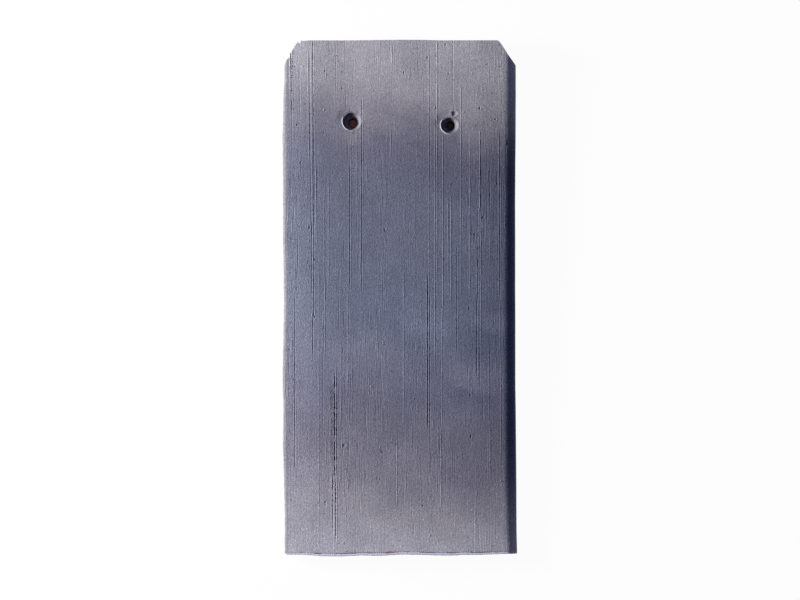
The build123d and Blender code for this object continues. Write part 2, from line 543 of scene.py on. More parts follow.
# cuts a round opening out of a face of the tile and gives its edges
def cutRound(bm, centre, radius, flatten):
    cu, cv, w = centre
    doomed = []
    for face in bm.faces:
        middle = face.calc_center_median()
        if abs(middle.z - w) < 0.2 and math.hypot(middle.x - cu, (middle.y - cv) / flatten) < radius:
            doomed.append(face)
    bmesh.ops.delete(bm, geom=doomed, context="FACES")
    edges = openEdges(bm, centre, radius * 1.5 + 1)
    rim = {vertex for edge in edges for vertex in edge.verts}
    turns = {vertex: math.atan2((vertex.co.y - cv) / flatten, vertex.co.x - cu) for vertex in rim}
    inOrder = sorted(rim, key=lambda vertex: turns[vertex])
    first = turns[inOrder[0]]
    for n, vertex in enumerate(inOrder):
        even = first + 2 * math.pi * n / len(inOrder)
        turn = turns[vertex] + nailHole["evenness"] * (even - turns[vertex])
        vertex.co = Vector((cu + radius * math.cos(turn), cv + radius * flatten * math.sin(turn), w))
    return edges


# where the punch left a torn burr, by the turn around the mouth
def burrShare(turn, u):
    facing = math.cos(turn - math.radians(nailHole["burrTurn"]))
    return smooth(1.1 * facing - 0.1 + 0.6 * wobble(turn * 2.2, u, 3.1))


# punches a nail hole: a raised lip, a tapered mouth and a straight bore down to its exit underneath
def punchHole(bm, number):
    u, v = nailPlaces[number]
    mouthU, mouthV = u + nailHole["mouthShift"][number][0], v + nailHole["mouthShift"][number][1]
    boreU, boreV = u + nailHole["boreShift"][number][0], v + nailHole["boreShift"][number][1]
    radius, flatten = nailHole["mouthRadius"][number], nailHole["flatten"][number]
    edges = cutRound(bm, (mouthU, mouthV, thickness), radius + nailHole["lip"], flatten)
    under = cutRound(bm, (boreU, boreV, 0), boreRadius + nailHole["exitGrowth"], 1)
    for grow, depth, raised in nailHole["rings"]:
        share = smooth((depth - nailHole["boreFrom"]) / nailHole["closingDepth"])
        centreU = mouthU + (boreU - mouthU) * share
        centreV = mouthV + (boreV - mouthV) * share
        squash = flatten + (1 - flatten) * share
        vertices, edges = extrudeRing(bm, edges)
        for vertex in vertices:
            away = Vector((vertex.co.x - centreU, (vertex.co.y - centreV) / squash, 0)).normalized()
            turn = math.atan2(away.y, away.x)
            uneven = nailHole["wallUneven"] * wobble(away.x * 1.7 + u, away.y * 1.7, depth * 0.6)
            uneven *= smooth(depth / 2)
            size = radius + grow + uneven
            place = Vector((centreU + away.x * size, centreV + away.y * size * squash, thickness - depth))
            place.z += nailHole["burr"] * raised * burrShare(turn, u)
            vertex.co = place
    bmesh.ops.bridge_loops(bm, edges=edges + under)


# draws the hanging nib down out of the underside, ring by ring
def raiseNib(bm):
    half, length = nib["rootHalfWidth"], nib["rootLength"]
    foot = []
    for face in bm.faces:
        middle = face.calc_center_median()
        inside = abs(middle.x) < half and hookPlace < middle.y < hookPlace + length
        if inside and abs(middle.z) < 0.2:
            foot.append(face)
    lastWidth, lastFront, lastBack = half, 0.0, length
    for depth, width, front, back in nib["rings"]:
        made = bmesh.ops.extrude_face_region(bm, geom=foot)["geom"]
        bmesh.ops.delete(bm, geom=foot, context="FACES")
        foot = [item for item in made if isinstance(item, bmesh.types.BMFace)]
        for vertex in (item for item in made if isinstance(item, bmesh.types.BMVert)):
            share = (vertex.co.y - hookPlace - lastFront) / (lastBack - lastFront)
            vertex.co.x *= width / lastWidth
            vertex.co.y = hookPlace + front + share * (back - front)
            vertex.co.z = -depth * nibHeight / nib["drawnHeight"]
        lastWidth, lastFront, lastBack = width, front, back


# cuts the grid finer where a pit or a rough groove needs it
def refineAround(bm):
    marginAcross, marginAlong = tile["pitMargin"]
    for across, fromHead, radius, depth, bareness in pits:
        v = halfLength - fromHead
        edges = set()
        for face in bm.faces:
            middle = face.calc_center_median()
            near = abs(middle.x - across) < radius + marginAcross
            near = near and abs(middle.y - v) < radius + marginAlong
            if near and middle.z > thickness - 0.5:
                edges.update(face.edges)
        bmesh.ops.subdivide_edges(bm, edges=list(edges), cuts=tile["pitCuts"], use_grid_fill=True)
    for across, start, end, depth, half, rough in dragLines:
        if rough < tile["roughFrom"]:
            continue
        edges = []
        for edge in bm.edges:
            a, b = edge.verts
            middle = (a.co + b.co) / 2
            lengthwise = abs(a.co.x - b.co.x) < 0.01 and abs(a.co.y - b.co.y) > 1.5
            inside = abs(middle.x - across) < half + tile["roughMargin"]
            inside = inside and start < halfLength - middle.y < end
            if lengthwise and inside and middle.z > thickness - 0.1:
                edges.append(edge)
        bmesh.ops.subdivide_edges(bm, edges=edges, cuts=tile["roughCuts"], use_grid_fill=True)


# height that one drag line gives the face: a groove with a low bank on each side, or a ridge
def lineRelief(line, across, fromHead):
    place, start, end, depth, half, rough = line
    offset = abs(across - place) / half
    if offset >= lineShape["reach"] or fromHead < start or fromHead > end:
        return 0.0
    fade = smooth((fromHead - start) / lineShape["fadeLength"]) if start > 0 else 1.0
    if end < round(2 * halfLength):
        fade *= smooth((end - fromHead) / lineShape["fadeLength"])
    uneven = 1 + rough * lineShape["tremble"] * wobble(place * 3.1, fromHead / 1.7)
    uneven += lineShape["waver"] * wobble(place * 1.3, fromHead / 14)
    trough = max(0, 1 - offset)
    fromBank = abs(offset - lineShape["bankPlace"]) / lineShape["bankReach"]
    bank = lineShape["bankHeight"] * max(0, 1 - fromBank)
    return -tile["lineGain"] * depth * fade * max(0, uneven) * (trough - bank)


# how much of each fleck of torn clay lies at a place by the tail
def fleckShare(across, fromTail):
    share = 0.0
    for place, up, halfWide, halfTall, strength in flecks:
        far = math.hypot((across - place) / halfWide, (fromTail - up) / halfTall)
        patchy = smooth(0.8 + wobble(across * 1.3, fromTail * 2))
        share = max(share, strength * smooth(1.6 - 1.4 * far) * patchy)
    return share


# sideways and lengthwise shift of the worn outline
def outlineShift(across, v, w):
    fromHead, fromTail = halfLength - v, halfLength + v
    edge = wear["edgeReach"]
    x, y = 0.0, 0.0
    left = smooth((-across - halfWidth + edge) / edge)
    if left > 0:
        coarse, fine = wear["leftRagged"]
        ragged = coarse * wobble(v * 0.28, w * 0.12, 4.4) + fine * wobble(v * 0.9, w * 0.2, 1.1)
        x += left * (ramp(fromHead, leftOutline) + ragged)
    right = smooth((across - halfWidth + edge) / edge)
    if right > 0:
        ragged = wear["rightRagged"] * wobble(v * 0.06, w * 0.1, 7.4)
        x += right * (ramp(fromHead, rightOutline) + ragged)
    start = halfLength - wear["headReach"]
    if v > start:
        # only the skin is torn into teeth at the left corner, and the clay under them is torn back evenly
        tear = smooth((-across - wear["tornFrom"]) / wear["tornFade"])
        toothed = ramp(across, headOutline)
        deepest = max(ramp(across + step, headOutline) for step in (-1.1, -0.55, 0, 0.55, 1.1))
        skin = smooth((w - thickness + wear["skinDepth"]) / wear["skinFade"])
        torn = wear["tornRagged"] * wobble(across * 1.7, w * 0.25, 9.0) * skin
        torn += (deepest - toothed) * (1 - skin)
        cutback = toothed + torn * tear + wear["headRagged"] * wobble(across * 0.9, 4.0, 9.0)
        y -= (v - start) * cutback / wear["headReach"]
    if fromTail < wear["tailReach"]:
        coarse, fine = wear["tailRagged"]
        ragged = coarse * wobble(across * 0.35, 2.0, 6.0) + fine * wobble(across * 1.4, 2.0, 6.0)
        y += (ramp(across, tailOutline) + ragged) * (1 - fromTail / wear["tailReach"])
    return x, y


# turns the right arris of the clean section into the one at this distance from the head
def pressArris(across, w, fromHead):
    radius = tile["rightArris"]
    less = radius - ramp(fromHead, rightArrisRadius)
    sideways = (across - halfWidth + radius) / radius
    upwards = (w - thickness + radius) / radius
    if less <= 0 or sideways < 0 or upwards < 0:
        return 0.0, 0.0
    return less * (1 - sideways), less * (1 - upwards)


# drag lines by the cells across the face that they reach, so that a vertex only asks those near it
def linesByCell():
    byCell = {}
    for line in dragLines:
        place, start, end, depth, half, rough = line
        reach = lineShape["reach"] * half
        firstCell = math.floor((place - reach) / cellWidth)
        lastCell = math.floor((place + reach) / cellWidth)
        for cell in range(firstCell, lastCell + 1):
            byCell.setdefault(cell, []).append(line)
    return byCell


# height of the drag lines, the swells, the pits and the crumbs at a place on the face
def faceRelief(across, fromHead, onFace, lines, paint):
    height = 0.0
    for line in lines:
        height += lineRelief(line, across, fromHead)
    # painted shade in the grooves, a painted highlight on the ridges and banks
    growth = lineShape["toneGrowth"]
    hollowShading = lineShape["shadeStrength"] * smooth((-height - lineShape["shadeFrom"]) / growth)
    paint["crest"] = smooth((height - lineShape["highlightFrom"]) / growth) * onFace
    acrossSize, alongSize = tile["swellSize"]
    height += tile["swell"] * wobble(across / acrossSize, fromHead / alongSize, 3.3)
    acrossSize, alongSize = tile["rippleSize"]
    height += tile["ripple"] * wobble(across / acrossSize, fromHead / alongSize, 8.1)
    for place, down, radius, depth, bareness in pits:
        reach = pitShape["reach"] * radius
        if abs(across - place) > reach or abs(fromHead - down) > reach:
            continue
        far = math.hypot(across - place, fromHead - down) / radius
        far *= 1 + pitShape["ragged"] * wobble(across * 0.9, fromHead * 0.9, place)
        dip = smooth(pitShape["edge"] - far)
        fromRim = abs(far - pitShape["rimPlace"]) / pitShape["rimReach"]
        rim = pitShape["rimHeight"] * smooth(1 - fromRim)
        height -= tile["pitGain"] * depth * (dip - rim)
        # painted shade in a pit
        shadeStrength = pitShape["shadeStrength"] * dip * smooth(depth / pitShape["shadeDepth"])
        hollowShading = max(hollowShading, shadeStrength)
        # a crumb gets the painted highlight
        if depth < 0:
            paint["crest"] = max(paint["crest"], dip * onFace)
        paint["bareClay"] = max(paint["bareClay"], bareness * dip)
    paint["hollowShade"] = hollowShading * onFace
    return height


# how far the face is pressed in above a nail hole, with a painted highlight on its burr and painted shade
# down its mouth
def pressedByPunch(across, v, w, paint):
    pressed = 0.0
    for number, (nailU, nailV) in enumerate(nailPlaces):
        shiftU, shiftV = nailHole["mouthShift"][number]
        du, dv = across - nailU - shiftU, v - nailV - shiftV
        far = math.hypot(du, dv)
        turn = math.atan2(dv, du)
        if far < nailHole["pressedReach"] and w > thickness - 0.4:
            above = smooth(0.3 + math.cos(turn - math.radians(nailHole["pressedTurn"])))
            outwards = (far - nailHole["pressedFrom"]) / nailHole["pressedFade"]
            pressed += nailHole["pressedDepth"] * smooth(1 - outwards) * above
            # painted highlight on the burr, nearly as pale as the one on the lip at the tail
            fromBurr = abs(far - nailHole["mouthRadius"][number] - nailHole["burrPlace"])
            burrLight = nailHole["burrHighlight"] * smooth(1.3 - fromBurr / nailHole["burrReach"])
            paint["lipHighlight"] = max(paint["lipHighlight"], burrLight * burrShare(turn, nailU))
        if far < nailHole["clearance"] and 1 < w < thickness - 0.3:
            down = thickness - w
            facing = math.cos(turn - nailHole["litTurn"])
            # painted shade on the wall away from the lamp and down the bore
            wallShading = nailHole["wallShade"] - nailHole["wallShadeLoss"] * smooth((down - 2.0) / 2.5)
            wallShading *= smooth((down - 0.3) / 1.2) * smooth(0.4 - 0.9 * facing)
            scraped = smooth(1.4 - abs(down - nailHole["scrapedDepth"]))
            scraped *= smooth(1.9 - 2.1 * abs(turn - nailHole["scrapedTurn"]))
            deep = smooth((down - nailHole["shadeDepth"]) / nailHole["shadeFade"])
            paint["bareClay"] = max(paint["bareClay"], nailHole["scrapedBareness"] * scraped)
            paint["hollowShade"] = max(paint["hollowShade"], wallShading, deep)
    return pressed


# height of the tail's torn seam and of the lip below it, both left by the wire, with painted shade in the
# seam and a painted highlight on the lip and down the end
def tailRelief(across, w, fromTail, paint):
    height = 0.0
    if fromTail < tailEdge["reach"] and w > thickness / 2:
        top = smooth((w - thickness + tailEdge["fadeDepth"]) / tailEdge["fadeDepth"])
        aboveSeam = fromTail - ramp(across, seamPlace)
        shut = tailEdge["shutShare"]
        openness = shut + (1 - shut) * smooth(0.5 + 1.5 * wobble(across / 9, 0.3, 5.5))
        groove = smooth(1 - abs(aboveSeam) / tailEdge["seamReach"]) * tailEdge["seamDepth"] * openness
        fromLip = abs(aboveSeam + tailEdge["lipPlace"])
        lip = tailEdge["lipHeight"] * smooth(1 - fromLip / tailEdge["lipReach"])
        roll = tailEdge["rollDepth"] * smooth(1 - fromTail / tailEdge["rollReach"]) ** 2
        height = top * (lip - groove - roll)
        # painted shade in the seam
        paint["hollowShade"] = max(paint["hollowShade"], top * smooth(1.25 - abs(aboveSeam) / 0.4) * openness)
        # painted highlight on the lip below the seam
        paint["lipHighlight"] = smooth((0.15 - aboveSeam) / 0.3)
    elif fromTail < 1:
        # painted highlight down the tail's end
        paint["lipHighlight"] = smooth((w - thickness * 0.35) / 4)
    if fromTail < 6 and w > thickness - 4:
        paint["bareClay"] = max(paint["bareClay"], fleckShare(across, fromTail))
    return height


# bareness of the back and of the edges, where the engobe runs out, but not of the nail holes' walls
def backBareness(across, v, w):
    fromHoles = [math.hypot(across - nailU, v - nailV) for nailU, nailV in nailPlaces]
    if w >= thickness - 1 or (min(fromHoles) < nailHole["clearance"] and w > 1):
        return 0.0
    torn = bareBack["coarseTear"] * wobble(across / 7, v / 11, 2.0)
    torn += bareBack["fineTear"] * wobble(across / 2, v / 2, 7.0)
    return smooth((thickness * bareBack["heightShare"] + torn - w) / bareBack["fade"])


# gives the clean body its worn outline and its relief, and paints what the material reads
def shapeTile(bm):
    names = ("bareClay", "hollowShade", "lipHighlight", "crest")
    layers = {name: bm.verts.layers.float.new(name) for name in names}
    byCell = linesByCell()
    for vertex in bm.verts:
        across, v, w = vertex.co
        fromHead, fromTail = halfLength - v, halfLength + v
        onFace = smooth((w - thickness + tile["faceFade"]) / tile["faceFade"])
        lean = ramp(across, lineLean) * min(fromHead / leanLength, 1) * onFace
        paint = dict.fromkeys(layers, 0.0)
        height = 0.0
        if onFace > 0:
            lines = byCell.get(math.floor(across / cellWidth), ())
            height = faceRelief(across, fromHead, onFace, lines, paint)
        height -= pressedByPunch(across, v, w, paint)
        height += tailRelief(across, w, fromTail, paint)
        paint["bareClay"] = max(paint["bareClay"], backBareness(across, v, w))
        for name, layer in layers.items():
            vertex[layer] = paint[name]
        outwards, up = pressArris(across, w, fromHead)
        x, y = outlineShift(across + outwards, v, w)
        if w < 0.5:
            height += tile["backSwell"] * wobble(across / 9, v / 40, 6.1)
            height += tile["backRipple"] * wobble(across / 1.5, v / 30, 2.1)
            height *= smooth((fromTail - 1) / tile["seatLength"]) * smooth((w + 0.8) / 0.8)
        vertex.co = Vector((across + lean + x + outwards, v + y, w + height + up))


def makeTile():
    section = sectionPoints()
    rows = rowPlaces()
    bm = bmesh.new()
    columnCount, rowCount = len(section) - 1, len(rows) - 1
    bmesh.ops.create_grid(bm, x_segments=columnCount, y_segments=rowCount, size=0.5)
    for vertex in bm.verts:
        u, w = section[round((vertex.co.x + 0.5) * columnCount)]
        vertex.co = Vector((u, rows[round((vertex.co.y + 0.5) * rowCount)], w))
    bmesh.ops.remove_doubles(bm, verts=bm.verts, dist=0.005)
    print("ribbon", columnCount, "columns by", rowCount, "rows")
    refineAround(bm)
    for number in range(len(nailPlaces)):
        punchHole(bm, number)
    raiseNib(bm)
    closeEnd(bm, 1)
    closeEnd(bm, -1)
    print("closed", all(not edge.is_boundary for edge in bm.edges), "faces", len(bm.faces))
    shapeTile(bm)
    place = Matrix.Translation(backMiddle) @ Matrix((acrossAxis, alongAxis, upAxis)).transposed().to_4x4()
    bmesh.ops.transform(bm, matrix=place @ Matrix.Scale(mm, 4), verts=bm.verts)
    bmesh.ops.recalc_face_normals(bm, faces=bm.faces)
    for face in bm.faces:
        face.smooth = True
    mesh = bpy.data.meshes.new("clayTile")
    bm.to_mesh(mesh)
    bm.free()
    mesh.set_sharp_from_angle(angle=math.radians(tile["creaseAngle"]))
    piece = bpy.data.objects.new("clayTile", mesh)
    bpy.context.scene.collection.objects.link(piece)
    mesh.calc_loop_triangles()
    print("tile mesh", len(mesh.loop_triangles), "triangles")
    return piece


engobe = {
    # tone of the fired engobe by the distance from the head, as a share of the length, with a painted sheen
    # that makes both ends paler and greyer
    "toneAndSheen": [
        (0.02, (0.330, 0.322, 0.374)), (0.09, (0.262, 0.258, 0.304)), (0.150, (0.176, 0.170, 0.217)),
        (0.20, (0.130, 0.128, 0.184)), (0.26, (0.128, 0.134, 0.194)), (0.36, (0.139, 0.149, 0.213)),
        (0.54, (0.138, 0.150, 0.220)), (0.67, (0.128, 0.132, 0.200)), (0.76, (0.160, 0.158, 0.218)),
        (0.84, (0.212, 0.202, 0.260)), (0.91, (0.290, 0.279, 0.332)), (0.99, (0.402, 0.388, 0.460)),
    ],
    "sheenTilt": 0.15,  # the painted sheen of the pale ends reaches further down the left side
    # painted shade on the right side, less of it at the ends
    "rightShadeMiddle": (0.80, 0.80, 0.82, 1),
    "rightShadeEnds": (0.91, 0.91, 0.92, 1),
    # painted shade on the right arris in the middle, painted light on it at both ends
    "arrisShadeMiddle": (0.46, 0.53, 0.80, 1),
    "arrisLightEnds": (1.12, 1.16, 1.30, 1),
    "edgeTone": (0.200, 0.200, 0.235, 1),
    # painted highlight on the tail's lip and the nail holes' burrs
    "lipHighlightTone": (0.56, 0.55, 0.70, 1),
    # painted shade in the grooves, pits, seam and nail holes
    "hollowShadeTone": (0.014, 0.014, 0.024, 1),
    "clayTone": (0.310, 0.114, 0.066, 1),
    "clayDark": (0.225, 0.078, 0.046, 1),
    # bands in metres, from where they begin to where they are full
    "leftLightAcross": (-0.060, -0.084),
    "leftLightAlong": (-0.17, -0.08),
    "headEnd": (0.085, 0.140),
    "tailEnd": (-0.110, -0.185),
    "rightSide": (0.052, 0.080),
    "arrisSide": (0.0805, 0.0855),
    "leftEdge": (-0.0862, -0.0880),
    "scratchAcross": [(-0.0548, -0.0528), (-0.0504, -0.0512)],
    "scratchAlong": [(-0.132, -0.118), (-0.060, -0.074)],
    # sizes of the patterns, as scales of their noise
    "driftScale": 22.0,
    "driftReach": 0.035,  # metres that the tones and their painted sheen wander along the tile
    "mottleScale": 55.0,
    "hairScale": 1250.0,
    "hairGroupScale": 60.0,
    "grainScale": 1300.0,
    "sandScale": 560.0,
    "pinholeScale": 480.0,
    "scratchScale": 1500.0,
    "hollowShadeScale": 800.0,
    "clayScale": 90.0,
    # how much they lighten or darken
    "leftLightGain": 0.28,
    "sandGain": 0.30,
    "pinholeLoss": 0.30,
    "crestHighlightGain": 0.42,
    "scratchLoss": 0.30,
    # how high they stand, in metres, two of them in the middle and at the ends
    "grainRelief": (0.00034, 0.00021),
    "hairRelief": (0.00026, 0.00013),
    "sandRelief": 0.00012,
    "scratchRelief": 0.00022,
    "roughness": 0.55,
    "specular": 0.06,
}

# Soft lighter and darker patches, in metres: across, along from the middle, reaches across and along, tint
tonePatches = [
    (0.056, 0.102, 0.034, 0.020, (0.85, 0.85, 0.88, 1)),
    (0.066, 0.030, 0.032, 0.050, (0.88, 0.89, 0.91, 1)),
    (0.072, 0.076, 0.020, 0.012, (0.87, 0.89, 0.92, 1)),
    (0.074, -0.004, 0.018, 0.008, (1.18, 1.15, 1.14, 1)),
    (0.064, -0.021, 0.026, 0.011, (0.84, 0.85, 0.90, 1)),
    (0.062, -0.050, 0.028, 0.012, (1.22, 1.18, 1.14, 1)),
    (0.052, -0.067, 0.018, 0.008, (0.88, 0.89, 0.92, 1)),
    (0.052, -0.128, 0.018, 0.014, (0.90, 0.90, 0.93, 1)),
    (0.016, -0.013, 0.024, 0.010, (1.10, 1.10, 1.08, 1)),
    (0.016, -0.118, 0.024, 0.014, (1.09, 1.07, 1.07, 1)),
    (0.004, -0.010, 0.050, 0.022, (1.00, 1.04, 1.07, 1)),
    (-0.024, -0.056, 0.032, 0.028, (1.27, 1.25, 1.17, 1)),
    (-0.060, -0.064, 0.016, 0.052, (1.18, 1.18, 1.16, 1)),
    (-0.060, 0.060, 0.016, 0.110, (1.06, 1.06, 1.06, 1)),
    (-0.084, -0.045, 0.022, 0.060, (1.28, 1.26, 1.20, 1)),
    (-0.084, 0.040, 0.020, 0.030, (1.08, 1.08, 1.07, 1)),
    (-0.084, -0.152, 0.022, 0.030, (1.10, 1.12, 1.13, 1)),
    (0.052, 0.138, 0.018, 0.009, (1.15, 1.15, 1.12, 1)),
    (0.030, -0.060, 0.030, 0.040, (1.08, 1.06, 1.05, 1)),
    (0.055, -0.130, 0.030, 0.036, (0.89, 0.88, 0.91, 1)),
    (-0.022, -0.152, 0.026, 0.020, (0.94, 0.94, 0.95, 1)),
    (-0.024, 0.146, 0.034, 0.060, (1.20, 1.18, 1.16, 1)),
    (-0.018, 0.129, 0.026, 0.010, (1.14, 1.13, 1.09, 1)),
    (-0.018, 0.110, 0.024, 0.009, (0.92, 0.92, 0.93, 1)),
    (0.030, 0.158, 0.034, 0.020, (1.12, 1.10, 1.09, 1)),
    (0.050, 0.202, 0.020, 0.012, (1.11, 1.11, 1.09, 1)),
    (-0.084, 0.116, 0.022, 0.026, (1.12, 1.16, 1.11, 1)),
    (-0.056, -0.188, 0.030, 0.022, (0.90, 0.90, 0.92, 1)),
]


def engobedClay():
    material = bpy.data.materials.new("engobedClay")
    material.use_nodes = True
    tree = material.node_tree
    nodes, links = tree.nodes, tree.links
    nodes.clear()

    def maths(operation, a, b=0.0, clamp=False):
        return mathsNode(tree, operation, a, b, clamp)

    def span(value, low, high, newLow=0.0, newHigh=1.0):
        node = nodes.new("ShaderNodeMapRange")
        node.interpolation_type = "SMOOTHSTEP"
        feed(tree, node.inputs["Value"], value)
        node.inputs["From Min"].default_value = low
        node.inputs["From Max"].default_value = high
        node.inputs["To Min"].default_value = newLow
        node.inputs["To Max"].default_value = newHigh
        return node.outputs["Result"]

    def blendColour(factor, a, b, mode="MIX"):
        node = nodes.new("ShaderNodeMix")
        node.data_type = "RGBA"
        node.blend_type = mode
        feed(tree, node.inputs[0], factor)
        feed(tree, node.inputs[6], a)
        feed(tree, node.inputs[7], b)
        return node.outputs[2]

    def placed(scale, turn=(0, 0, 0), shift=(0, 0, 0), source=None):
        node = nodes.new("ShaderNodeMapping")
        node.inputs["Location"].default_value = shift
        node.inputs["Rotation"].default_value = turn
        node.inputs["Scale"].default_value = scale
        links.new(source or coordinates.outputs["Object"], node.inputs["Vector"])
        return node.outputs["Vector"]

    def cloud(vector, scale, detail=2.0, roughness=0.5):
        node = nodes.new("ShaderNodeTexNoise")
        node.inputs["Scale"].default_value = scale
        node.inputs["Detail"].default_value = detail
        node.inputs["Roughness"].default_value = roughness
        links.new(vector, node.inputs["Vector"])
        return node.outputs["Fac"]

    def lighten(tone, mask, gain):
        return blendColour(1.0, tone, maths("ADD", 1.0, maths("MULTIPLY", mask, gain)), "MULTIPLY")

    def darken(tone, mask, loss):
        return blendColour(1.0, tone, maths("SUBTRACT", 1.0, maths("MULTIPLY", mask, loss)), "MULTIPLY")

    def painted(name):
        node = nodes.new("ShaderNodeAttribute")
        node.attribute_name = name
        return node.outputs["Fac"]

    coordinates = nodes.new("ShaderNodeTexCoord")
    turn = (-math.asin(alongAxis.z), 0, 0)
    level = placed((1, 1, 1), turn)
    axes = nodes.new("ShaderNodeSeparateXYZ")
    links.new(level, axes.inputs[0])
    along, across = axes.outputs["Y"], axes.outputs["X"]

    # engobe tone with a painted sheen: paler and greyer at both ends, bluish and darker in the middle
    drift = maths("SUBTRACT", cloud(level, engobe["driftScale"], 2), 0.5)
    drift = maths("MULTIPLY", drift, engobe["driftReach"])
    tilted = maths("MULTIPLY", maths("MAXIMUM", across, -0.055), engobe["sheenTilt"])
    place = maths("ADD", maths("ADD", along, drift), tilted)
    sheenRamp = nodes.new("ShaderNodeValToRGB")
    stops = sheenRamp.color_ramp.elements
    while len(stops) < len(engobe["toneAndSheen"]):
        stops.new(0.5)
    for stop, (share, tone) in zip(stops, engobe["toneAndSheen"]):
        stop.position = share
        stop.color = (*tone, 1)
    shareDown = maths("SUBTRACT", 0.5, maths("DIVIDE", place, 2 * halfLength * mm))
    links.new(shareDown, sheenRamp.inputs[0])
    tone = sheenRamp.outputs[0]
    # painted light on the left side, lighter towards the tail
    leftLight = span(across, *engobe["leftLightAcross"])
    leftLight = maths("MULTIPLY", leftLight, span(along, *engobe["leftLightAlong"]))
    tone = lighten(tone, leftLight, engobe["leftLightGain"])
    ends = maths("ADD", span(along, *engobe["headEnd"]), span(along, *engobe["tailEnd"]), True)
    white = (1, 1, 1, 1)
    # painted shade on the right side, away from the lamp
    rightShade = blendColour(ends, engobe["rightShadeMiddle"], engobe["rightShadeEnds"])
    rightShade = blendColour(span(across, *engobe["rightSide"]), white, rightShade)
    tone = blendColour(1.0, tone, rightShade, "MULTIPLY")
    # painted shade on the right arris, which faces away from the lamp, with painted light at both ends
    arrisShading = blendColour(ends, engobe["arrisShadeMiddle"], engobe["arrisLightEnds"])
    arrisShading = blendColour(span(across, *engobe["arrisSide"]), white, arrisShading)
    tone = blendColour(1.0, tone, arrisShading, "MULTIPLY")
    for middleAcross, middleAlong, reachAcross, reachAlong, tint in tonePatches:
        du = maths("DIVIDE", maths("SUBTRACT", across, middleAcross), reachAcross)
        dv = maths("DIVIDE", maths("SUBTRACT", place, middleAlong), reachAlong)
        far = maths("ADD", maths("MULTIPLY", du, du), maths("MULTIPLY", dv, dv))
        tone = blendColour(span(far, 1.6, 0.0), tone, blendColour(1.0, tone, tint, "MULTIPLY"))
    tone = blendColour(span(across, *engobe["leftEdge"]), tone, engobe["edgeTone"])

    # mottling, hairlines dragged along the tile, fine grain with paler sand in it
    mottle = span(cloud(level, engobe["mottleScale"], 3), 0.3, 0.7, 0.95, 1.05)
    hairs = cloud(placed((1, 0.003, 1), turn), engobe["hairScale"], 1, 0.4)
    hairRidges = span(hairs, 0.60, 0.74)
    hairGrooves = span(hairs, 0.40, 0.26)
    grouped = cloud(placed((1, 0.10, 1), turn), engobe["hairGroupScale"], 1)
    grouped = span(grouped, 0.40, 0.64, 0.15, 1.0)
    grain = cloud(level, engobe["grainScale"], 1, 0.6)
    sand = cloud(placed((1, 1, 1), turn, (0.3, 0.2, 0.1)), engobe["sandScale"], 0)
    sand = span(sand, 0.74, 0.79)
    pinholes = cloud(placed((1, 1, 1), turn, (0.7, 0.4, 0.9)), engobe["pinholeScale"], 0)
    pinholes = span(pinholes, 0.24, 0.19)
    tone = blendColour(1.0, tone, mottle, "MULTIPLY")
    tone = blendColour(1.0, tone, span(grain, 0.25, 0.75, 0.77, 1.23), "MULTIPLY")
    tone = lighten(tone, sand, engobe["sandGain"])
    tone = darken(tone, pinholes, engobe["pinholeLoss"])
    # painted highlight on the ridges, banks and crumbs
    tone = lighten(tone, painted("crest"), engobe["crestHighlightGain"])
    # short oblique scratches on the left of the rough groove
    leftSide, rightSide = engobe["scratchAcross"]
    tailSide, headSide = engobe["scratchAlong"]
    besideGroove = maths("MULTIPLY", span(across, *leftSide), span(across, *rightSide))
    besideGroove = maths("MULTIPLY", besideGroove, span(along, *tailSide))
    besideGroove = maths("MULTIPLY", besideGroove, span(along, *headSide))
    oblique = placed((1, 0.22, 1), source=placed((1, 1, 1), (0, 0, math.radians(40))))
    scratches = span(cloud(oblique, engobe["scratchScale"], 0), 0.42, 0.58)
    scratches = maths("MULTIPLY", scratches, besideGroove)
    tone = darken(tone, scratches, engobe["scratchLoss"])
    # painted highlight on the tail's lip and the nail holes' burrs
    tone = blendColour(painted("lipHighlight"), tone, engobe["lipHighlightTone"])
    # painted shade in the hollows, in shallow ones only in part
    broken = cloud(placed((1, 0.5, 1), turn), engobe["hollowShadeScale"], 0)
    broken = span(broken, 0.35, 0.6, 0.35, 0.8)
    hollowShade = painted("hollowShade")
    hollowShadeShare = maths("MULTIPLY", hollowShade, maths("MAXIMUM", broken, span(hollowShade, 0.5, 0.9)), True)
    tone = blendColour(hollowShadeShare, tone, engobe["hollowShadeTone"])
    # bare clay where the engobe did not reach or is torn
    clouded = span(cloud(level, engobe["clayScale"], 5, 0.6), 0.3, 0.75)
    clay = blendColour(clouded, engobe["clayTone"], engobe["clayDark"])
    clay = blendColour(1.0, clay, span(grain, 0.25, 0.75, 0.85, 1.15), "MULTIPLY")
    colour = blendColour(painted("bareClay"), tone, clay)

    shader = nodes.new("ShaderNodeBsdfPrincipled")
    shader.inputs["Specular IOR Level"].default_value = engobe["specular"]
    links.new(colour, shader.inputs["Base Color"])
    gloss = maths("ADD", engobe["roughness"], maths("MULTIPLY", maths("SUBTRACT", grain, 0.5), 0.25))
    gloss = maths("ADD", gloss, maths("MULTIPLY", painted("bareClay"), 0.3), clamp=True)
    links.new(gloss, shader.inputs["Roughness"])
